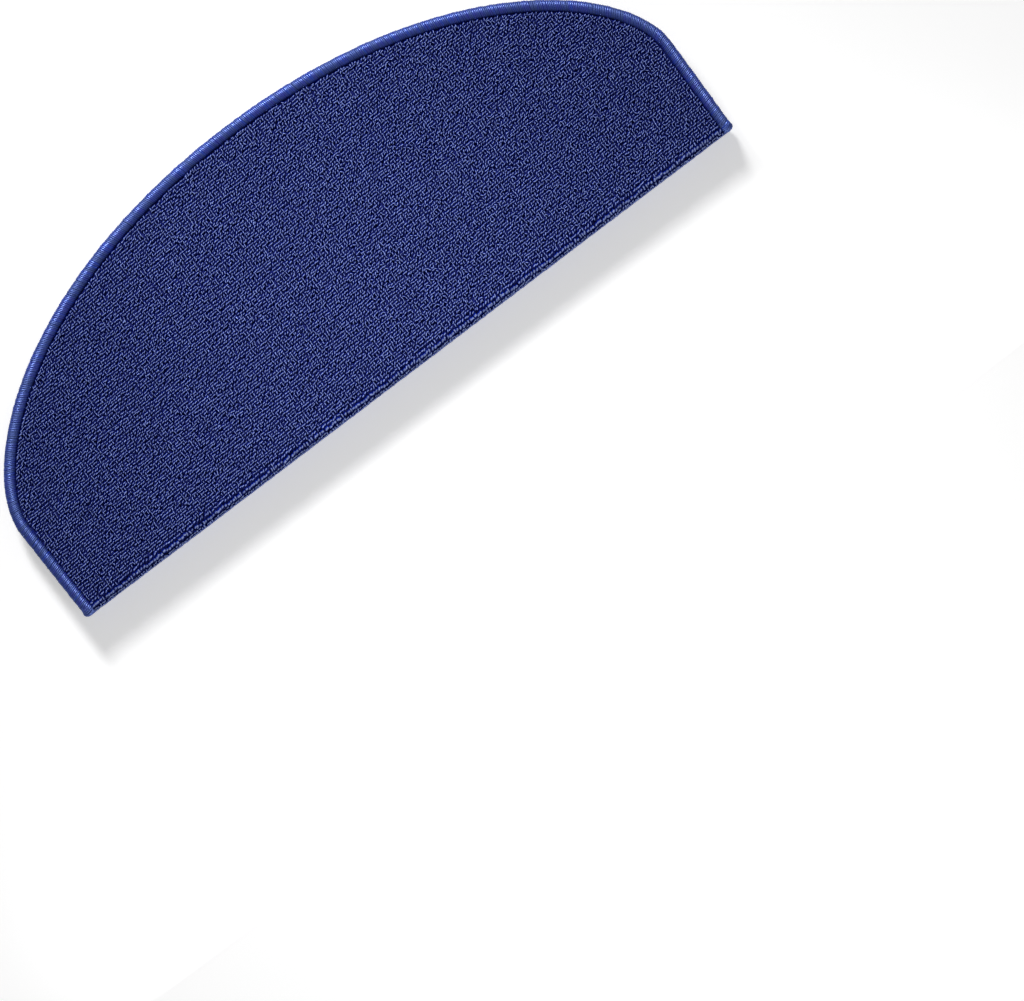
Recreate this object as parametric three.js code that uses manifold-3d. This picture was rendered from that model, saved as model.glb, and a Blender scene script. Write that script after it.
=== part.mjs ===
// Half-round stair tread mat with a nosing that hooks over the front edge of the step.
// A tufted loop pile carpet and its anti slip backing are folded down together at the front, a
// bent strip between them holds the fold square, and yarn is whipped round the whole edge.
//
// Millimetres. +X runs along the step, +Y to the back of the tread and +Z up. The origin lies on
// the underside of the tread, midway along it and midway from the front of the nosing to the back.
//
// The mat is laid out flat first. A place on it is (x, s, h): x along the step, s from the fold
// towards the back, measured on top of the ground cloth, and h above the underside. Where s is
// negative, the place goes round the fold and down the nosing.
import * as THREE from "three";
import { ParametricGeometry } from "three/addons/geometries/ParametricGeometry.js";
import { mergeVertices } from "three/addons/utils/BufferGeometryUtils.js";
import Module from "manifold-3d";

// Outline
const matLength = 650; // at the widest place
const noseLength = 647; // at the nosing
const matDepth = 245.2; // from the front of the nosing to the middle of the back edge
const noseHeight = 35; // from the top of the pile to the lower edge of the nosing
const sideLength = 85; // from the front of the nosing to where the side starts to curve
const sideHandle = 60.7; // the curve's handle where it leaves the side
const backHandle = 207.5; // the curve's handle at the middle of the back edge

// Layers, from the underside up
const backingThickness = 2;
const glueLine = 0.3;
const groundThickness = 1.2;
const pileHeight = 3;
const foldRadius = 2.2; // of the underside

// Loop pile, in rows along the step
const rowPitch = 2.37;
const rowDepth = 1.3;
const rowPoints = 4;

// Whipped edge
const whipWidth = 9.5;
const whipHeight = 7;
const whipUnderRadius = 2.6; // where its outer face turns under
const seatDepth = 6.2; // how far the whipping takes in the sheet
const seatClearance = 0.3;
const pressedThickness = 0.9; // of the backing where the whipping presses it
const grooveWidth = 0.9; // from the whipping to the pile
const pileCornerRadius = 2; // of the pile at the nosing's lower corners

// Bent strip
const stripThickness = 0.6;
const stripTreadLeg = 22; // behind the fold
const stripNoseMargin = 4; // above the whipping at the nosing's lower edge
const stripEndMargin = 8; // from the whipping at the sides

// Fineness of the facets
const foldSteps = 8;
const curveSteps = 36;
const cornerSteps = 6;
const whipSteps = 4;
const cutMargin = 5; // how far an uncut layer and its cutter run past the mat

const clothFinish = { roughness: 0.95, metalness: 0 };
const pileFinish = { color: 0x35427c, ...clothFinish };
const whipFinish = { color: 0x6b7cc3, ...clothFinish };
const backingFinish = { color: 0x8c8d8b, roughness: 0.85, metalness: 0 };
const stripFinish = { color: 0xb8babc, roughness: 0.4, metalness: 1 };

// Heights above the underside
const groundLow = backingThickness + glueLine;
const groundHigh = groundLow + groundThickness;
const pileHigh = groundHigh + pileHeight;
const pressedLow = backingThickness - pressedThickness;
const stripLow = backingThickness - stripThickness;

// Places along Y and Z
const frontY = -matDepth / 2;
const backY = matDepth / 2;
const foldY = frontY + pileHigh + foldRadius;
const noseLowZ = pileHigh - noseHeight;
const foldLength = (Math.PI / 2) * (foldRadius + groundHigh);
const noseLowS = noseLowZ + foldRadius - foldLength;

// Distances in from the mat's outline
const sheetInset = whipWidth - seatDepth + seatClearance;
const backingInset = whipWidth + seatClearance;
const pileInset = whipWidth + grooveWidth;
const cornerRadius = pileInset + pileCornerRadius;

const wasm = await Module();
wasm.setup();

function solidOf(geometry) {
  const shell = geometry.clone();
  shell.deleteAttribute("normal");
  shell.deleteAttribute("uv");
  const merged = mergeVertices(shell);
  const mesh = new wasm.Mesh({
    numProp: 3,
    vertProperties: new Float32Array(merged.attributes.position.array),
    triVerts: new Uint32Array(merged.index.array),
  });
  return new wasm.Manifold(mesh);
}

function namedMesh(name, solid, finish) {
  const { vertProperties, triVerts } = solid.getMesh();
  const indexed = new THREE.BufferGeometry();
  indexed.setAttribute("position", new THREE.BufferAttribute(vertProperties, 3));
  indexed.setIndex(new THREE.BufferAttribute(triVerts, 1));
  const geometry = indexed.toNonIndexed();
  geometry.computeVertexNormals();
  const mesh = new THREE.Mesh(geometry, new THREE.MeshStandardMaterial(finish));
  mesh.name = name;
  return mesh;
}

// Where the flat place (s, h) lies once the mat is folded, as a point (y, z) of the section.
function folded(s, h) {
  const radius = foldRadius + h;
  if (s >= 0) {
    return new THREE.Vector2(foldY + s, h);
  }
  if (s < -foldLength) {
    return new THREE.Vector2(foldY - radius, s + foldLength - foldRadius);
  }
  const turn = (-s / foldLength) * (Math.PI / 2);
  return new THREE.Vector2(
    foldY - radius * Math.sin(turn),
    radius * Math.cos(turn) - foldRadius,
  );
}

// Stations along a curve of the flat outline, each with its outward direction, without the end.
function stationsAlong(curve, steps) {
  return Array.from({ length: steps }, (_, step) => {
    const point = curve.getPoint(step / steps);
    const tangent = curve.getTangent(step / steps);
    return { point, out: new THREE.Vector2(tangent.y, -tangent.x) };
  });
}

// The right half of the flat outline, from the nosing's lower edge to the middle of the back.
function halfOutline() {
  const noseX = noseLength / 2;
  const sideX = matLength / 2;
  const sideS = frontY + sideLength - foldY;
  const backS = backY - foldY;
  const cornerS = noseLowS + cornerRadius;
  const cornerX = noseX - cornerRadius;
  const corner = new THREE.EllipseCurve(
    cornerX, cornerS, cornerRadius, cornerRadius, -Math.PI / 2, 0,
  );
  const cornerTop = new THREE.Vector2(noseX, cornerS);
  const foldLow = new THREE.Vector2(noseX, -foldLength);
  const foldTop = new THREE.Vector2(noseX, 0);
  const sideEnd = new THREE.Vector2(sideX, sideS);
  const curve = new THREE.CubicBezierCurve(
    sideEnd,
    new THREE.Vector2(sideX, sideS + sideHandle),
    new THREE.Vector2(backHandle, backS),
    new THREE.Vector2(0, backS),
  );
  return [
    ...stationsAlong(corner, cornerSteps),
    ...stationsAlong(new THREE.LineCurve(cornerTop, foldLow), 1),
    ...stationsAlong(new THREE.LineCurve(foldLow, foldTop), foldSteps),
    ...stationsAlong(new THREE.LineCurve(foldTop, sideEnd), 1),
    ...stationsAlong(curve, curveSteps),
    { point: new THREE.Vector2(0, backS), out: new THREE.Vector2(0, 1) },
  ];
}

function mirrored({ point, out }) {
  return {
    point: new THREE.Vector2(-point.x, point.y),
    out: new THREE.Vector2(-out.x, out.y),
  };
}

function wholeOutline() {
  const right = halfOutline();
  const left = right.slice(0, -1).reverse().map(mirrored);
  return [...right, ...left];
}

const outline = wholeOutline();

function outlinePoint({ point, out }, inset) {
  return point.clone().addScaledVector(out, -inset);
}

// Everything within the tread's outline, moved in by the inset, as an upright cutter.
function treadCutter(inset) {
  const onTread = outline.filter(({ point }) => point.y >= 0);
  const points = onTread.map((station) => {
    const { x, y } = outlinePoint(station, inset);
    return new THREE.Vector2(x, foldY + y);
  });
  const past = frontY - cutMargin;
  const first = new THREE.Vector2(points[0].x, past);
  const last = new THREE.Vector2(points[points.length - 1].x, past);
  const height = noseHeight + 2 * cutMargin;
  const block = new THREE.ExtrudeGeometry(
    new THREE.Shape([first, ...points, last]),
    { depth: height, bevelEnabled: false },
  );
  block.translate(0, 0, noseLowZ - cutMargin);
  return solidOf(block);
}

// Everything within the nosing's outline seen from the front, moved in by the inset.
function noseCutter(inset) {
  const onNose = outline.filter(({ point }) => point.y <= -foldLength);
  const points = onNose.map((station) => {
    const { x, y } = outlinePoint(station, inset);
    return new THREE.Vector2(x, y + foldLength - foldRadius);
  });
  const top = pileHigh + cutMargin;
  const wide = matLength / 2 + cutMargin;
  const half = points.length / 2;
  const right = points.slice(0, half);
  const left = points.slice(half);
  const block = new THREE.ExtrudeGeometry(
    new THREE.Shape([
      ...right,
      new THREE.Vector2(right[half - 1].x, -foldRadius),
      new THREE.Vector2(wide, 0),
      new THREE.Vector2(wide, top),
      new THREE.Vector2(-wide, top),
      new THREE.Vector2(-wide, 0),
      new THREE.Vector2(left[0].x, -foldRadius),
      ...left,
    ]),
    { depth: matDepth + 2 * cutMargin, bevelEnabled: false },
  );
  block.rotateX(Math.PI / 2);
  block.translate(0, backY + cutMargin, 0);
  return solidOf(block);
}

function trimmed(layer, inset) {
  return layer.intersect(treadCutter(inset)).intersect(noseCutter(inset));
}

// A section in the YZ plane, drawn out along the step by the length.
function drawnAlong(section, length) {
  const bar = new THREE.ExtrudeGeometry(section, {
    depth: length,
    bevelEnabled: false,
    curveSegments: foldSteps / 2,
  });
  const alongX = new THREE.Matrix4().makeBasis(
    new THREE.Vector3(0, 1, 0),
    new THREE.Vector3(0, 0, 1),
    new THREE.Vector3(1, 0, 0),
  );
  bar.applyMatrix4(alongX);
  bar.translate(-length / 2, 0, 0);
  return solidOf(bar);
}

// Runs a section's path along the underside of a layer, from the nosing to the back.
function runUnder(section, height, back, low) {
  const radius = foldRadius + height;
  section.lineTo(foldY - radius, low);
  section.lineTo(foldY - radius, -foldRadius);
  section.absarc(foldY, -foldRadius, radius, Math.PI, Math.PI / 2, true);
  section.lineTo(back, height);
}

// A plain layer of the folded sheet between two heights.
function layer(lower, upper, back, low, length) {
  const radius = foldRadius + upper;
  const section = new THREE.Shape();
  section.moveTo(back, upper);
  section.lineTo(foldY, upper);
  section.absarc(foldY, -foldRadius, radius, Math.PI / 2, Math.PI, false);
  section.lineTo(foldY - radius, low);
  runUnder(section, lower, back, low);
  return drawnAlong(section, length);
}

function wholeLayer(lower, upper) {
  return layer(lower, upper, backY + cutMargin, noseLowZ - cutMargin, matLength);
}

// The pile's face: round-topped rows, each set on the ground cloth, which fan out on the fold.
function rowPath() {
  const rowsBack = Math.ceil((backY + cutMargin - foldY) / rowPitch);
  const rowsDown = Math.ceil((cutMargin - noseLowS) / rowPitch);
  const count = (rowsBack + rowsDown) * rowPoints;
  return Array.from({ length: count + 1 }, (_, index) => {
    const row = index / rowPoints - rowsDown;
    const across = 2 * (row - Math.floor(row)) - 1;
    const rise = Math.sqrt(1 - across * across);
    const height = pileHigh - rowDepth * (1 - rise);
    return folded((row - 1 / 2) * rowPitch, height);
  }).reverse();
}

function pileLayer() {
  const face = rowPath();
  const section = new THREE.Shape(face);
  const hidden = (groundLow + groundHigh) / 2;
  runUnder(section, hidden, face[0].x, face[face.length - 1].y);
  return drawnAlong(section, matLength);
}

function loopPileCarpet() {
  const ground = trimmed(wholeLayer(groundLow, groundHigh), sheetInset);
  return ground.add(trimmed(pileLayer(), pileInset));
}

const stripLength = noseLength - 2 * (whipWidth + stripEndMargin);

function stripLayer(lower, upper, clearance) {
  const back = foldY + stripTreadLeg + clearance;
  const low = noseLowZ + whipWidth + stripNoseMargin - clearance;
  return layer(lower, upper, back, low, stripLength + 2 * clearance);
}

function nosingStrip() {
  return stripLayer(stripLow, backingThickness, 0);
}

// Pressed thin where the whipping takes it in, and sunk under the strip.
function antiSlipBacking() {
  const body = trimmed(wholeLayer(0, backingThickness), backingInset);
  const rim = trimmed(wholeLayer(pressedLow, backingThickness), sheetInset);
  const sink = stripLayer(stripLow - glueLine, backingThickness + glueLine, glueLine);
  return body.add(rim).subtract(sink);
}

// Section of the whipping: u is the distance in from its outer edge, v the height. A seat open
// to the inside takes the edge of the sheet.
function whipSection() {
  const seatU = whipWidth - seatDepth;
  const seatLow = pressedLow - seatClearance;
  const seatHigh = groundHigh + seatClearance;
  const middle = whipWidth / 2;
  const crown = whipHeight - whipUnderRadius;
  const start = Math.asin((seatHigh - whipUnderRadius) / crown);
  const section = new THREE.Shape();
  section.moveTo(seatU, seatLow);
  section.lineTo(seatU, seatHigh);
  section.lineTo(middle + middle * Math.cos(start), seatHigh);
  section.absellipse(middle, whipUnderRadius, middle, crown, start, Math.PI, false, 0);
  section.absarc(whipUnderRadius, whipUnderRadius, whipUnderRadius, Math.PI, -Math.PI / 2, false);
  section.lineTo(whipWidth, 0);
  section.lineTo(whipWidth, seatLow);
  return section.getPoints(whipSteps);
}

function edgeWhipping() {
  const section = whipSection();
  const around = outline.length;
  const place = (across, along, target) => {
    const station = outline[Math.round(along * around) % around];
    const { x: inset, y: height } = section[Math.round(across * section.length) % section.length];
    const flat = outlinePoint(station, inset);
    const { x: y, y: z } = folded(flat.y, height);
    target.set(flat.x, y, z);
  };
  return solidOf(new ParametricGeometry(place, section.length, around));
}

const mat = new THREE.Group();
mat.add(namedMesh("loop_pile_carpet", loopPileCarpet(), pileFinish));
mat.add(namedMesh("anti_slip_backing", antiSlipBacking(), backingFinish));
mat.add(namedMesh("nosing_strip", nosingStrip(), stripFinish));
mat.add(namedMesh("edge_whipping", edgeWhipping(), whipFinish));

export default mat;
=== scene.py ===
import math

import bpy
import numpy as np
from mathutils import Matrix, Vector


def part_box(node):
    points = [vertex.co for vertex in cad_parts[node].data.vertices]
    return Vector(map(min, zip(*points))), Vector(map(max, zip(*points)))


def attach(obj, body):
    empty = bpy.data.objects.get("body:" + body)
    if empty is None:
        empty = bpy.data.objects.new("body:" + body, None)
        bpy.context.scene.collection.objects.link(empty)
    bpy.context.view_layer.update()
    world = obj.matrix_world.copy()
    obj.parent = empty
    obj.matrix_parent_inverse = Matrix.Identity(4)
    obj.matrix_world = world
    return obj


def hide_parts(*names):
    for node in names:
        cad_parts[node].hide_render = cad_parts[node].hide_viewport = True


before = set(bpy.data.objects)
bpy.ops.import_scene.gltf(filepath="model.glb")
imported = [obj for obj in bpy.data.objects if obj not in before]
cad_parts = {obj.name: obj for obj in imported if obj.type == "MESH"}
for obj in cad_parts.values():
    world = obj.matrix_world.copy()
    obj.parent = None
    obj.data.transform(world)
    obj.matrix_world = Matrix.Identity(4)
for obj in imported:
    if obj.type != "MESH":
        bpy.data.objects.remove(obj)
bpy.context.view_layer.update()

MM = 0.001

# Sizes read from the solids
whip_low, whip_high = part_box("edge_whipping")
carpet_low, carpet_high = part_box("loop_pile_carpet")
HALF_LENGTH = whip_high.x
FRONT_Y = carpet_low.y
BACK_Y = whip_high.y
NOSE_LOW_Z = whip_low.z
PILE_HIGH = carpet_high.z

# The outline, as the solids have it
HALF_NOSE = 323.5 * MM
SIDE_LENGTH = 85 * MM
SIDE_HANDLE = 60.7 * MM
BACK_HANDLE = 207.5 * MM
NOSE_CORNER_RADIUS = 12.4 * MM
CORNER_POINTS = 60
CURVE_POINTS = 600
OUTLINE_STEP = 0.5 * MM
TANGENT_REACH = 2  # outline steps to each side that give the edge's direction

# The layers, as heights above the underside
BACKING_HIGH = 2 * MM
GROUND_LOW = 2.3 * MM
GROUND_HIGH = 3.5 * MM
FOLD_RADIUS = 2.2 * MM
FOLD_CUTS = 12
EDGE_EVERY = 8  # outline steps from corner to corner of a layer's edge
SHARP_ANGLE = math.radians(35)
FOLD_Y = FRONT_Y + PILE_HIGH + FOLD_RADIUS
FOLD_LENGTH = math.pi / 2 * (FOLD_RADIUS + GROUND_HIGH)
SHEET_INSET = 3.6 * MM
BACKING_INSET = 9.8 * MM

# The whipped edge
WHIP_WIDTH = 9.5 * MM
WHIP_HEIGHT = 7 * MM
ROLL_WIDTH = 10 * MM  # the turns stand a little proud of the whipping's solid
ROLL_OUT = 0.35 * MM
CORD_WIDTH = 8.2 * MM
CORD_HEIGHT = 5.6 * MM
CORD_STEPS = 420
CORD_SIDES = 8

# The turns of yarn round the edge
TURN_SEED = 11
TURN_PITCH = 1.5 * MM
TURN_YARN_RADIUS = 1.1 * MM
TURN_STEPS = 12
TURN_SIDES = 5
TURN_SWELL = 0.07  # the share by which turns grow and shrink from stretch to stretch
SWELL_PASSES = 2
TURN_SIZE_SPREAD = 0.014
TURN_SLANT = -0.24  # how far a turn goes along the edge for each length that it goes in
TURN_SLANT_DRIFT = 0.12
SLANT_PASSES = 3
TURN_SHIFT_SPREAD = 0.12 * MM
TURN_TONE_LOW = 0.2
TURN_TONE_SWELL = 0.6  # larger turns are lighter
TURN_TONE_SPREAD = 0.25

# The pile's loops
PILE_PIECES = ("pile_on_nosing", "pile_in_front", "pile_in_middle", "pile_at_back")
PILE_SEED = 7
ROW_PITCH = 2.37 * MM
COLUMN_PITCH = 2.55 * MM
PILE_INSET = 10.4 * MM
LOOP_LENGTH = 2.62 * MM
LOOP_RADIUS = 0.81 * MM
LOOP_HEIGHT = PILE_HIGH - GROUND_HIGH
LOOP_SIDES = 4
LOOP_BEND = 0.28  # from a loop's middle to where it bends down, as a share of its length
LOOP_END = 0.45
LOOP_DROP = 0.1 * LOOP_HEIGHT
LONG_RANGE = (0.8, 1.15)
WIDE_RANGE = (0.8, 1.2)
TALL_RANGE = (0.86, 1)
LOOP_TONE_SPREAD = 0.11
LOOP_TONE_MOST = 0.95
PALE_LOOPS = 0.0006  # the share of loops that are much lighter

# How the loops lie and stray from their grid
LIE_TURNS = (16, 78, 45, -45)  # degrees from the row
LIE_SHARES = (0.56, 0.77, 0.95)  # added up, and the last lie has the rest
LIE_SPREAD = 9
FRONT_ROWS = 2
ORDER_FROM = 20 * MM  # from here to -X more of the loops lie along the row
ORDER_RUN = 100 * MM
ORDER_MOST = 1.4
ORDER_PULL = 0.23
COLUMN_STRAY = 0.32 * MM
COLUMN_DRIFT = 0.4 * MM
ROW_STRAY = 0.2 * MM
ROW_DRIFT = 0.6 * MM
DRIFT_PASSES = 2

# What the fold does to the loops, as shares
FOLD_STRETCH = 0.24
FOLD_WIDEN = 0.5
FOLD_SHADE_EASED = 0.38  # how much of the painted shade on their flanks is taken off, so that they come nearer the colour of their crests and show as lit

# The camera, straight above: a pixel of the 1024 x 1001 photograph is 0.7966 mm
PIXEL = 0.7966 * MM
PICTURE_WIDTH = 1024 * PIXEL
CENTRE_ALONG = 3.8 * PIXEL  # from the middle of the front edge to the picture's centre
CENTRE_IN_FRONT = 163.3 * PIXEL
PICTURE_CENTRE = Vector((CENTRE_ALONG, FRONT_Y - CENTRE_IN_FRONT, 0))
PICTURE_TURN = math.radians(-37.17)
CAMERA_HEIGHT = 1

# The light: strengths, places and sizes in metres, spreads in degrees
WORLD_STRENGTH = 0.15
SUNS = (
    ("lamp_behind", 2.0, 13, (0.21, 0.88, 0.85)),
    ("lamp_in_front", 0.1, 60, (0.1, -0.9, 0.7)),
)
SPOT_POWER = 110
SPOT_PLACE = (0.1, 1.25, 1.1)
SPOT_TARGET = (0, -0.2, 0)
SPOT_RADIUS = 0.25
SPOT_SPREAD = 28
BOX_POWER = 0.8
BOX_PLACE = (0, -0.4, -0.02)
BOX_TARGET = (0, FRONT_Y, -0.01)
BOX_LENGTH = 0.9
BOX_HEIGHT = 0.06

# The floor
FLOOR_SIZE = 6
FLOOR_GREY = 0.82
FLOOR_GLOW = 0.45  # only for the camera, so that the floor shows white

# The grain of the materials
YARN_TINT = (0.29, 0.42, 0.92)
YARN_BUMP = 0.5
YARN_BUMP_DEPTH = 0.1 * MM
PLAIN_BUMP = 0.6
FIBRE_DETAIL = 3


def deselect_all():
    if bpy.context.object and bpy.context.object.mode != "OBJECT":
        bpy.ops.object.mode_set(mode="OBJECT")
    bpy.ops.object.select_all(action="DESELECT")


# The flat outline and the fold


def bezier(start, start_handle, end_handle, end, count):
    t = np.linspace(0, 1, count)[:, None]
    return (
        (1 - t) ** 3 * np.array(start)
        + 3 * (1 - t) ** 2 * t * np.array(start_handle)
        + 3 * (1 - t) * t**2 * np.array(end_handle)
        + t**3 * np.array(end)
    )


def right_half_outline():
    """From the middle of the nosing's lower edge to the middle of the back, as flat points (x, s)."""
    nose_s = NOSE_LOW_Z + FOLD_RADIUS - FOLD_LENGTH
    side_s = FRONT_Y + SIDE_LENGTH - FOLD_Y
    back_s = BACK_Y - FOLD_Y
    turn = np.linspace(-math.pi / 2, 0, CORNER_POINTS)
    centre = (HALF_NOSE - NOSE_CORNER_RADIUS, nose_s + NOSE_CORNER_RADIUS)
    corner = centre + NOSE_CORNER_RADIUS * np.column_stack((np.cos(turn), np.sin(turn)))
    curve = bezier(
        (HALF_LENGTH, side_s),
        (HALF_LENGTH, side_s + SIDE_HANDLE),
        (BACK_HANDLE, back_s),
        (0, back_s),
        CURVE_POINTS,
    )
    return np.vstack(([[0, nose_s]], corner, [[HALF_NOSE, 0]], curve))


def whole_outline():
    """The outline at even steps, the direction outwards at each, and its length."""
    right = right_half_outline()
    left = right[-2:0:-1] * (-1, 1)
    around = np.vstack((right, left, right[:1]))
    run = np.concatenate(([0], np.cumsum(np.hypot(*np.diff(around, axis=0).T))))
    count = round(run[-1] / OUTLINE_STEP)
    at = np.arange(count) / count * run[-1]
    points = np.column_stack([np.interp(at, run, around[:, i]) for i in (0, 1)])
    tangent = np.roll(points, -TANGENT_REACH, axis=0) - np.roll(points, TANGENT_REACH, axis=0)
    tangent /= np.hypot(*tangent.T)[:, None]
    return points, np.column_stack((tangent[:, 1], -tangent[:, 0])), run[-1]


OUTLINE, OUTWARD, OUTLINE_LENGTH = whole_outline()


def edge_places(distance, inset):
    """Flat points at distances along the outline, moved in by an inset."""
    at = np.arange(len(OUTLINE)) / len(OUTLINE) * OUTLINE_LENGTH
    along = [
        np.interp(distance, at, column, period=OUTLINE_LENGTH)
        for column in (*OUTLINE.T, *OUTWARD.T)
    ]
    return along[0] - along[2] * inset, along[1] - along[3] * inset


def folded(x, s, h):
    """Where a flat place (x, s) at height h lies once the mat is folded."""
    turn = np.clip(-s / FOLD_LENGTH, 0, 1) * math.pi / 2
    radius = FOLD_RADIUS + h
    y = FOLD_Y + np.maximum(s, 0) - radius * np.sin(turn)
    z = radius * np.cos(turn) - FOLD_RADIUS + np.minimum(s + FOLD_LENGTH, 0)
    return np.stack((x, y, z), axis=-1)


def vertex_places(mesh):
    places = np.empty(len(mesh.vertices) * 3)
    mesh.vertices.foreach_get("co", places)
    return places.reshape(-1, 3)


def move_vertices(mesh, places):
    mesh.vertices.foreach_set("co", np.ascontiguousarray(places, float).ravel())
    mesh.update()


def fold_over_nosing(piece):
    """Keep each vertex's flat place as the UV map, then fold the mesh round the nosing."""
    mesh = piece.data
    flat = vertex_places(mesh)
    corners = np.empty(len(mesh.loops), int)
    mesh.loops.foreach_get("vertex_index", corners)
    uv = mesh.uv_layers.active or mesh.uv_layers.new(name="flat")
    uv.data.foreach_set("uv", flat[corners, :2].ravel())
    move_vertices(mesh, folded(*flat.T))


# The layers of the sheet


def folded_layer(name, inset, low, high):
    edge = OUTLINE[::EDGE_EVERY] - OUTWARD[::EDGE_EVERY] * inset
    deselect_all()
    bpy.ops.mesh.primitive_circle_add(vertices=len(edge), fill_type="NGON")
    layer = bpy.context.object
    layer.name = name
    move_vertices(layer.data, np.column_stack((edge, np.full(len(edge), low))))
    bpy.ops.object.mode_set(mode="EDIT")
    bpy.ops.mesh.select_all(action="SELECT")
    bpy.ops.mesh.extrude_region_move(
        TRANSFORM_OT_translate={"value": (0, 0, high - low)}
    )
    for cut in np.linspace(-FOLD_LENGTH, 0, FOLD_CUTS + 1):
        bpy.ops.mesh.select_all(action="SELECT")
        bpy.ops.mesh.bisect(plane_co=(0, cut, 0), plane_no=(0, 1, 0))
    bpy.ops.mesh.select_all(action="SELECT")
    bpy.ops.mesh.normals_make_consistent(inside=False)
    bpy.ops.object.mode_set(mode="OBJECT")
    fold_over_nosing(layer)
    bpy.ops.object.shade_smooth_by_angle(angle=SHARP_ANGLE)
    return layer


# Copies of one small shape


def copies(name, shape, places, tone, rise):
    """One mesh of many copies of a shape of quads.

    places and rise have a row for each copy and a column for each vertex of the shape, and
    tone has one value for each copy.
    """
    count, corners = places.shape[:2]
    quads = np.array([tuple(face.vertices) for face in shape.data.polygons])
    faces = (np.arange(count)[:, None, None] * corners + quads).reshape(-1, 4)
    mesh = bpy.data.meshes.new(name)
    mesh.from_pydata(places.reshape(-1, 3), [], faces)
    mesh.shade_smooth()
    for label, values in (("tone", np.repeat(tone, corners)), ("rise", rise)):
        attribute = mesh.attributes.new(label, "FLOAT", "POINT")
        attribute.data.foreach_set("value", np.ascontiguousarray(values, float).ravel())
    piece = bpy.data.objects.new(name, mesh)
    bpy.context.collection.objects.link(piece)
    return piece


def drifting(shape, passes, rng):
    """Even values from 0 to 1 that drift from neighbour to neighbour."""
    field = rng.random(shape)
    for _ in range(passes):
        around = [np.roll(field, step, axis) for axis in (0, 1) for step in (-1, 1)]
        field = (2 * field + sum(around)) / 6
    return field.ravel().argsort().argsort().reshape(shape) / field.size


# The loop pile


def yarn_loop():
    """The crest of a loop along X, at the top of the pile, its two ends a little lower."""
    deselect_all()
    bpy.ops.mesh.primitive_cylinder_add(
        vertices=LOOP_SIDES,
        radius=LOOP_RADIUS,
        depth=LOOP_LENGTH,
        location=(0, 0, LOOP_HEIGHT - LOOP_RADIUS),
        rotation=(0, math.pi / 2, 0),
    )
    loop = bpy.context.object
    loop.name = "yarn_loop"
    bpy.ops.object.transform_apply(location=True, rotation=True, scale=True)
    bpy.ops.object.mode_set(mode="EDIT")
    for side in (-1, 1):
        bend = side * LOOP_LENGTH * LOOP_BEND
        bpy.ops.mesh.select_all(action="SELECT")
        bpy.ops.mesh.bisect(plane_co=(bend, 0, 0), plane_no=(1, 0, 0))
    bpy.ops.mesh.select_all(action="DESELECT")
    bpy.ops.object.mode_set(mode="OBJECT")
    for vertex in loop.data.vertices:
        vertex.select = abs(vertex.co.x) > LOOP_LENGTH * LOOP_END
    bpy.ops.object.mode_set(mode="EDIT")
    bpy.ops.transform.translate(value=(0, 0, -LOOP_DROP))
    bpy.ops.object.mode_set(mode="OBJECT")
    return loop


def depth_inside(x, s):
    """How far flat points lie in from the outline, and the way out for each."""
    edge, outward = OUTLINE[::EDGE_EVERY], OUTWARD[::EDGE_EVERY]
    near = np.empty(x.shape, int)
    for i in range(len(x)):
        away = (x[i][:, None] - edge[:, 0]) ** 2 + (s[i][:, None] - edge[:, 1]) ** 2
        near[i] = away.argmin(1)
    out_x, out_s = np.moveaxis(outward[near], -1, 0)
    depth = (edge[near, 0] - x) * out_x + (edge[near, 1] - s) * out_s
    return depth, out_x, out_s


def loop_turns(x, s, rng):
    """How far each loop is turned from its row, in radians."""
    ordered = np.clip((ORDER_FROM - x) / ORDER_RUN, 0, ORDER_MOST)
    lie = rng.random(x.shape) * (1 - ORDER_PULL * ordered)
    # The front rows leave the last lie out
    lie = np.where(s < FRONT_ROWS * ROW_PITCH, lie * LIE_SHARES[-1], lie)
    turn = np.select([lie < share for share in LIE_SHARES], LIE_TURNS[:-1], LIE_TURNS[-1])
    return np.radians(turn + rng.normal(0, LIE_SPREAD, x.shape))


def strayed(place, stray, drift, rng):
    """Places moved a little, each by itself and then with its neighbours."""
    own = rng.normal(0, stray, place.shape)
    shared = drifting(place.shape, DRIFT_PASSES, rng) - 0.5
    return place + own + drift * shared


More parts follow.
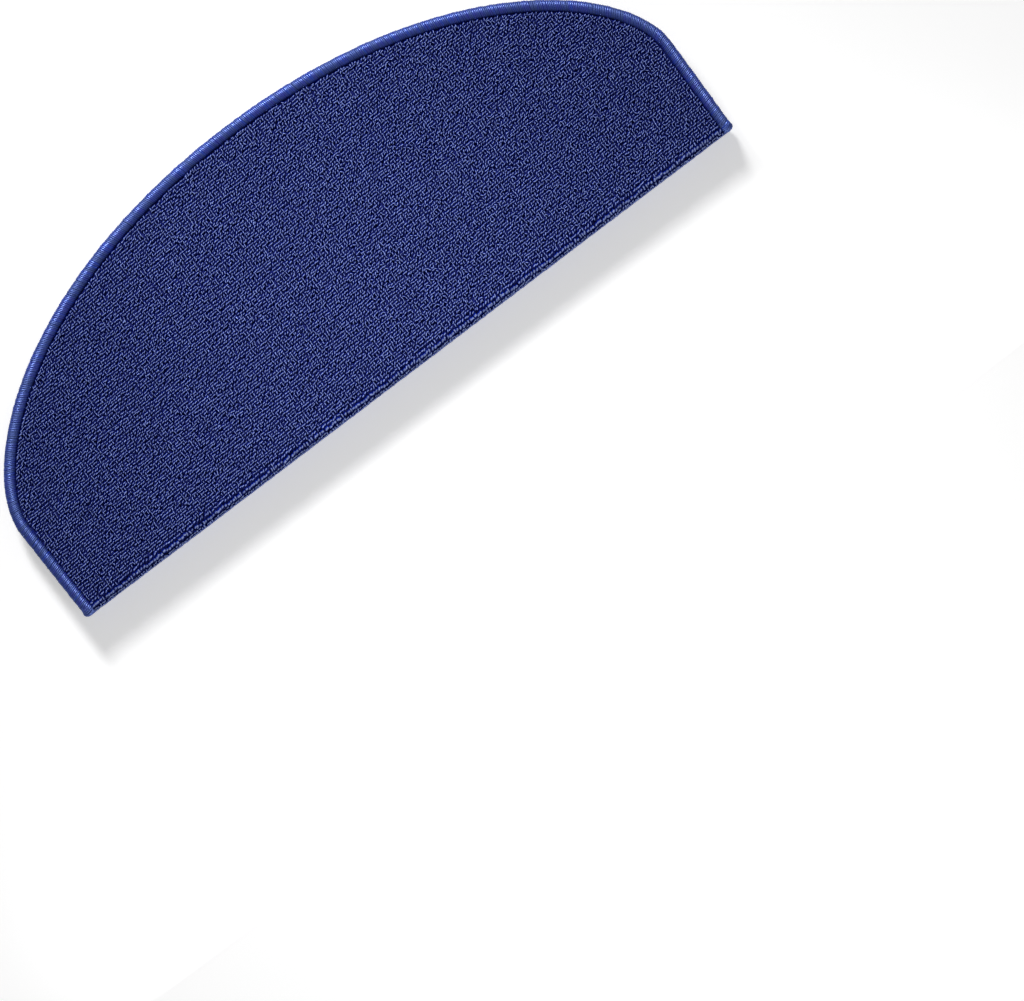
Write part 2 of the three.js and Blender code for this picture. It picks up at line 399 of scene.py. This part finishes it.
def tuft_grid(rng):
    """Every loop's place, turn, size and tone, as columns of one table."""
    low, high = OUTLINE.min(0) + PILE_INSET / 2, OUTLINE.max(0) - PILE_INSET / 2
    columns = np.arange(math.ceil(low[0] / COLUMN_PITCH), high[0] / COLUMN_PITCH)
    rows = np.arange(math.ceil(low[1] / ROW_PITCH), high[1] / ROW_PITCH)
    s, x = np.meshgrid(rows * ROW_PITCH, columns * COLUMN_PITCH, indexing="ij")
    shape = x.shape
    turn = loop_turns(x, s, rng)
    x = strayed(x, COLUMN_STRAY, COLUMN_DRIFT, rng)
    s = strayed(s, ROW_STRAY, ROW_DRIFT, rng)
    depth, out_x, out_s = depth_inside(x, s)
    keep = depth > PILE_INSET - ROW_PITCH / 2
    # The rows part over the fold
    s = s - FOLD_STRETCH * np.clip(ROW_PITCH / 2 - s, 0, FOLD_LENGTH)
    on_fold = np.sin(math.pi * np.clip(-s / FOLD_LENGTH, 0, 1))
    push = np.maximum(PILE_INSET - depth, 0)
    x, s = x - out_x * push, s - out_s * push
    table = {
        "x": x,
        "s": s,
        "turn": turn,
        "long": rng.uniform(*LONG_RANGE, shape),
        "wide": rng.uniform(*WIDE_RANGE, shape) * (1 + FOLD_WIDEN * on_fold),
        "on_fold": on_fold,
        "tall": rng.uniform(*TALL_RANGE, shape),
        "tone": np.clip(rng.normal(0.5, LOOP_TONE_SPREAD, shape), 0, LOOP_TONE_MOST),
    }
    table["tone"] = np.where(rng.random(shape) < PALE_LOOPS, 1, table["tone"])
    return {label: column[keep] for label, column in table.items()}


def tufted(name, loop, tufts):
    """A loop at each tuft's place, folded over the nosing with the ground cloth."""
    one = vertex_places(loop.data)
    along = one[:, 0] * tufts["long"][:, None]
    across = one[:, 1] * tufts["wide"][:, None]
    rise = one[:, 2] * tufts["tall"][:, None]
    cos, sin = np.cos(tufts["turn"])[:, None], np.sin(tufts["turn"])[:, None]
    x = tufts["x"][:, None] + along * cos - across * sin
    s = tufts["s"][:, None] + along * sin + across * cos
    places = folded(x, s, GROUND_HIGH + rise)
    # The rise carries painted shade: flanks and feet darker than crests, less so on the fold, where
    # the opened rows show lit.
    below = 1 - one[:, 2] / LOOP_HEIGHT
    shaded_rise = 1 - below * (1 - FOLD_SHADE_EASED * tufts["on_fold"][:, None])
    return copies(name, loop, places, tufts["tone"], shaded_rise)


def loop_pile(rng):
    loop = yarn_loop()
    tufts = tuft_grid(rng)
    order = np.argsort(tufts["s"], kind="stable")
    parts = np.array_split(order, len(PILE_PIECES))
    pieces = []
    for name, part in zip(PILE_PIECES, parts):
        mine = {label: column[part] for label, column in tufts.items()}
        pieces.append(tufted(name, loop, mine))
    bpy.data.objects.remove(loop)
    return pieces


# The turns of the whipped edge


def yarn_turn():
    """One turn of yarn as a ring: X goes in from the edge, Y up and Z along the edge."""
    deselect_all()
    bpy.ops.mesh.primitive_torus_add(
        major_segments=TURN_STEPS,
        minor_segments=TURN_SIDES,
        major_radius=1,
        minor_radius=TURN_YARN_RADIUS / (ROLL_WIDTH / 2),
    )
    turn = bpy.context.object
    turn.name = "yarn_turn"
    return turn


def edge_whipping(rng):
    """Turns of yarn, side by side all round the edge, each drawn to the roll's section."""
    ring = yarn_turn()
    one = vertex_places(ring.data)
    count = round(OUTLINE_LENGTH / TURN_PITCH)
    column = (count, 1)
    swell = drifting(column, SWELL_PASSES, rng)
    size = 1 + TURN_SWELL * (swell - 0.5) + rng.normal(0, TURN_SIZE_SPREAD, column)
    slant = TURN_SLANT_DRIFT * (drifting(column, SLANT_PASSES, rng) - 0.5) + TURN_SLANT
    shift = rng.normal(0, TURN_SHIFT_SPREAD, column)
    yarn_share = 1 + TURN_YARN_RADIUS / (ROLL_WIDTH / 2)
    half_width, half_height = ROLL_WIDTH / 2 / yarn_share, WHIP_HEIGHT / 2 / yarn_share
    middle = ROLL_WIDTH / 2 - ROLL_OUT
    inset = middle + one[:, 0] * half_width * size
    height = WHIP_HEIGHT / 2 + one[:, 1] * half_height * size
    along = one[:, 2] * ROLL_WIDTH / 2 + slant * (inset - middle) + shift
    station = np.arange(count)[:, None] / count * OUTLINE_LENGTH
    x, s = edge_places(station + along, inset)
    places = folded(x, s, height)
    tone = TURN_TONE_SWELL * swell[:, 0] + TURN_TONE_LOW
    tone = np.clip(tone + rng.normal(0, TURN_TONE_SPREAD, count), 0, 1)
    # The height share is the rise that sets the painted shade towards the roll's foot.
    whipping = copies("whipping_yarn", ring, places, tone, height / WHIP_HEIGHT)
    bpy.data.objects.remove(ring)
    return whipping


def edge_cord():
    """The cord inside the turns of yarn: a round ring drawn along the edge."""
    thickness = 0.25
    deselect_all()
    bpy.ops.mesh.primitive_torus_add(
        major_segments=CORD_STEPS,
        minor_segments=CORD_SIDES,
        major_radius=1,
        minor_radius=thickness,
    )
    cord = bpy.context.object
    cord.name = "edge_cord"
    around_x, around_y, up = vertex_places(cord.data).T
    station = np.arctan2(around_y, around_x) / (2 * math.pi) * OUTLINE_LENGTH
    out = (np.hypot(around_x, around_y) - 1) / thickness * CORD_WIDTH / 2
    x, s = edge_places(station, ROLL_WIDTH / 2 - ROLL_OUT - out)
    height = WHIP_HEIGHT / 2 + up / thickness * CORD_HEIGHT / 2
    move_vertices(cord.data, folded(x, s, height))
    return cord


# Materials


def shader_group(name, inputs, outputs):
    group = bpy.data.node_groups.new(name, "ShaderNodeTree")
    for way, labels in (("INPUT", inputs), ("OUTPUT", outputs)):
        for label in labels:
            group.interface.new_socket(label, in_out=way, socket_type="NodeSocketFloat")
    start = group.nodes.new("NodeGroupInput")
    end = group.nodes.new("NodeGroupOutput")
    return group, start, end


def fibre_group():
    """Fine fibres of a yarn: a shade about 1 and a height for bump."""
    group, start, end = shader_group(
        "yarn_fibres", ["Fineness", "Contrast"], ["Shade", "Height"]
    )
    place = group.nodes.new("ShaderNodeTexCoord")
    noise = group.nodes.new("ShaderNodeTexNoise")
    noise.inputs["Detail"].default_value = FIBRE_DETAIL
    spread = group.nodes.new("ShaderNodeMath")
    spread.operation = "MULTIPLY_ADD"
    centred = group.nodes.new("ShaderNodeMath")
    centred.operation = "SUBTRACT"
    centred.inputs[1].default_value = 0.5
    spread.inputs[2].default_value = 1
    links = group.links
    links.new(place.outputs["Object"], noise.inputs["Vector"])
    links.new(start.outputs["Fineness"], noise.inputs["Scale"])
    links.new(noise.outputs["Fac"], centred.inputs[0])
    links.new(centred.outputs[0], spread.inputs[0])
    links.new(start.outputs["Contrast"], spread.inputs[1])
    links.new(spread.outputs[0], end.inputs["Shade"])
    links.new(noise.outputs["Fac"], end.inputs["Height"])
    return group


FIBRES = fibre_group()


def new_material(name):
    """A material of nodes, with its tree and its shader."""
    material = bpy.data.materials.new(name)
    material.use_nodes = True
    tree = material.node_tree
    return material, tree.nodes, tree.links, tree.nodes["Principled BSDF"]


def ramp(nodes, stops):
    node = nodes.new("ShaderNodeValToRGB")
    node.color_ramp.elements[0].position = stops[0][0]
    node.color_ramp.elements[0].color = (*stops[0][1], 1)
    node.color_ramp.elements[1].position = stops[-1][0]
    node.color_ramp.elements[1].color = (*stops[-1][1], 1)
    for position, colour in stops[1:-1]:
        node.color_ramp.elements.new(position).color = (*colour, 1)
    return node


def multiplied(nodes, links, first, second):
    node = nodes.new("ShaderNodeMix")
    node.data_type = "RGBA"
    node.blend_type = "MULTIPLY"
    node.inputs["Factor"].default_value = 1
    links.new(first, node.inputs["A"])
    links.new(second, node.inputs["B"])
    return node.outputs["Result"]


def fibre_grain(nodes, links, fineness, contrast, strength, depth):
    """The shade of fine fibres, and the surface that they give."""
    fibres = nodes.new("ShaderNodeGroup")
    fibres.node_tree = FIBRES
    fibres.inputs["Fineness"].default_value = fineness
    fibres.inputs["Contrast"].default_value = contrast
    bump = nodes.new("ShaderNodeBump")
    bump.inputs["Strength"].default_value = strength
    bump.inputs["Distance"].default_value = depth
    links.new(fibres.outputs["Height"], bump.inputs["Height"])
    return fibres.outputs["Shade"], bump.outputs["Normal"]


def yarn(name, rise_stops, tone_stops, rough_range, ior, fineness, contrast):
    """A dyed yarn with painted shade, darker towards its foot where its neighbours shade it, each
    length a little lighter or darker.
    """
    material, nodes, links, shader = new_material(name)
    shader.inputs["IOR"].default_value = ior
    shader.inputs["Specular Tint"].default_value = (*YARN_TINT, 1)
    rise, tone = nodes.new("ShaderNodeAttribute"), nodes.new("ShaderNodeAttribute")
    rise.attribute_name, tone.attribute_name = "rise", "tone"
    # The ramp along the rise paints shade: dark at the yarn's foot, light at its crest.
    painted_shade, lot = ramp(nodes, rise_stops), ramp(nodes, tone_stops)
    links.new(rise.outputs["Fac"], painted_shade.inputs["Fac"])
    links.new(tone.outputs["Fac"], lot.inputs["Fac"])
    shade, surface = fibre_grain(
        nodes, links, fineness, contrast, YARN_BUMP, YARN_BUMP_DEPTH
    )
    colour = multiplied(nodes, links, painted_shade.outputs["Color"], lot.outputs["Color"])
    colour = multiplied(nodes, links, colour, shade)
    links.new(colour, shader.inputs["Base Color"])
    links.new(surface, shader.inputs["Normal"])
    rough = nodes.new("ShaderNodeMapRange")
    rough.inputs["To Min"].default_value, rough.inputs["To Max"].default_value = rough_range
    links.new(tone.outputs["Fac"], rough.inputs["Value"])
    links.new(rough.outputs["Result"], shader.inputs["Roughness"])
    return material


def plain(name, colour, roughness, metallic, fineness, contrast, depth):
    """A plain finish with a fine grain in its colour and its surface."""
    material, nodes, links, shader = new_material(name)
    shader.inputs["Roughness"].default_value = roughness
    shader.inputs["Metallic"].default_value = metallic
    base = nodes.new("ShaderNodeRGB")
    base.outputs[0].default_value = (*colour, 1)
    shade, surface = fibre_grain(nodes, links, fineness, contrast, PLAIN_BUMP, depth)
    mottled = multiplied(nodes, links, base.outputs[0], shade)
    links.new(mottled, shader.inputs["Base Color"])
    links.new(surface, shader.inputs["Normal"])
    return material


def give(piece, material):
    piece.data.materials.clear()
    piece.data.materials.append(material)
    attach(piece, "root")


# Camera, light and floor


def picture_camera():
    camera = bpy.data.objects.new("camera", bpy.data.cameras.new("camera"))
    bpy.context.collection.objects.link(camera)
    camera.data.type = "ORTHO"
    camera.data.ortho_scale = PICTURE_WIDTH
    camera.location = PICTURE_CENTRE + Vector((0, 0, CAMERA_HEIGHT))
    camera.rotation_euler = (0, 0, PICTURE_TURN)
    bpy.context.scene.camera = camera


def studio_world():
    """White to the camera, and soft light on everything else."""
    world = bpy.data.worlds.new("studio")
    bpy.context.scene.world = world
    world.use_nodes = True
    nodes, links = world.node_tree.nodes, world.node_tree.links
    soft, white = nodes["Background"], nodes.new("ShaderNodeBackground")
    soft.inputs["Color"].default_value = (1, 1, 1, 1)
    soft.inputs["Strength"].default_value = WORLD_STRENGTH
    mix, path = nodes.new("ShaderNodeMixShader"), nodes.new("ShaderNodeLightPath")
    white.inputs["Color"].default_value = (1, 1, 1, 1)
    links.new(path.outputs["Is Camera Ray"], mix.inputs["Fac"])
    links.new(soft.outputs[0], mix.inputs[1])
    links.new(white.outputs[0], mix.inputs[2])
    links.new(mix.outputs[0], nodes["World Output"].inputs["Surface"])


def add_lamp(name, kind, power, place, target):
    """A lamp at a place that shines at a target. Only the direction counts for a sun."""
    lamp = bpy.data.objects.new(name, bpy.data.lights.new(name, kind))
    bpy.context.collection.objects.link(lamp)
    lamp.location = place
    back = Vector(place) - Vector(target)
    lamp.rotation_euler = back.to_track_quat("Z", "Y").to_euler()
    lamp.data.energy = power
    return lamp


def studio_light():
    bpy.context.scene.view_settings.view_transform = "Standard"
    studio_world()
    for name, strength, spread, direction in SUNS:
        sun = add_lamp(name, "SUN", strength, direction, (0, 0, 0))
        sun.data.angle = math.radians(spread)
    spot = add_lamp("spot_behind", "SPOT", SPOT_POWER, SPOT_PLACE, SPOT_TARGET)
    spot.data.shadow_soft_size = SPOT_RADIUS
    spot.data.spot_size = math.radians(SPOT_SPREAD)
    spot.data.spot_blend = 1
    box = add_lamp("softbox_in_front", "AREA", BOX_POWER, BOX_PLACE, BOX_TARGET)
    box.data.shape = "RECTANGLE"
    box.data.size, box.data.size_y = BOX_LENGTH, BOX_HEIGHT
    box.visible_camera = False


def floor_finish():
    material, nodes, links, shader = new_material("pale_floor")
    shader.inputs["Base Color"].default_value = (FLOOR_GREY, FLOOR_GREY, FLOOR_GREY, 1)
    shader.inputs["Roughness"].default_value = 1
    glow, add = nodes.new("ShaderNodeEmission"), nodes.new("ShaderNodeAddShader")
    path = nodes.new("ShaderNodeLightPath")
    share = nodes.new("ShaderNodeMath")
    share.operation = "MULTIPLY"
    share.inputs[1].default_value = FLOOR_GLOW
    links.new(path.outputs["Is Camera Ray"], share.inputs[0])
    links.new(share.outputs[0], glow.inputs["Strength"])
    links.new(shader.outputs[0], add.inputs[0])
    links.new(glow.outputs[0], add.inputs[1])
    links.new(add.outputs[0], nodes["Material Output"].inputs["Surface"])
    return material


def pale_floor():
    """The plane that the mat lies on, under the nosing's lower edge and the back edge."""
    front = Vector((0, FOLD_Y - FOLD_RADIUS - WHIP_HEIGHT / 2, NOSE_LOW_Z - ROLL_OUT))
    back = Vector((0, BACK_Y - WHIP_WIDTH / 2, 0))
    slope = math.atan2(back.z - front.z, back.y - front.y)
    deselect_all()
    bpy.ops.mesh.primitive_plane_add(
        size=FLOOR_SIZE, location=front, rotation=(slope, 0, 0)
    )
    floor = bpy.context.object
    floor.name = "floor"
    floor.data.materials.append(floor_finish())


# The mat, put together

picture_camera()
studio_light()
pale_floor()

pile_yarn = yarn(
    "pile_yarn",
    # Painted shade: the loops' feet and flanks near black and their crests light, as shade falls
    # between the loops.
    [(0.62, (0, 0.002, 0.09)), (0.88, (0, 0.009, 0.185)), (1, (0.34, 0.43, 0.77))],
    [(0, (0.5, 0.5, 0.55)), (0.5, (1, 1, 1)), (0.95, (1.6, 1.6, 1.5)), (0.99, (2.2, 2.2, 2))],
    rough_range=(0.95, 0.85),
    ior=1.05,
    fineness=1300,
    contrast=0.7,
)
whipping_yarn = yarn(
    "whipping_yarn",
    # Painted shade: the turns darker towards the foot of the roll, where they shade each other and
    # the pile meets the edge.
    [(0.3, (0.003, 0.01, 0.15)), (0.75, (0.003, 0.012, 0.18)), (1, (0.007, 0.019, 0.2))],
    [(0, (0.5, 0.5, 0.55)), (0.5, (1, 1, 1)), (0.8, (3.5, 1.1, 1.3)), (1, (2, 2.2, 1.8))],
    rough_range=(0.64, 0.32),
    ior=3.6,
    fineness=1500,
    contrast=1,
)
ground_weave = plain(
    "ground_weave",
    (0, 0.006, 0.15),
    roughness=0.95,
    metallic=0,
    fineness=900,
    contrast=0.5,
    depth=0.2 * MM,
)
foam_rubber = plain(
    "foam_rubber",
    (0.27, 0.27, 0.265),
    roughness=0.85,
    metallic=0,
    fineness=500,
    contrast=0.25,
    depth=0.15 * MM,
)
strip_steel = plain(
    "strip_steel",
    (0.5, 0.51, 0.52),
    roughness=0.4,
    metallic=1,
    fineness=120,
    contrast=0.2,
    depth=0.02 * MM,
)

ground_cloth = folded_layer("ground_cloth", SHEET_INSET, GROUND_LOW, GROUND_HIGH)
backing = folded_layer("foam_backing", BACKING_INSET, 0, BACKING_HIGH)
pile = loop_pile(np.random.default_rng(PILE_SEED))
whipping = edge_whipping(np.random.default_rng(TURN_SEED))
cord = edge_cord()

for piece in pile:
    give(piece, pile_yarn)
    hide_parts("loop_pile_carpet")
give(ground_cloth, ground_weave)
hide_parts("loop_pile_carpet")
give(backing, foam_rubber)
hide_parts("anti_slip_backing")
for piece in (whipping, cord):
    give(piece, whipping_yarn)
    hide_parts("edge_whipping")
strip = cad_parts["nosing_strip"]
strip.data.materials.clear()
strip.data.materials.append(strip_steel)
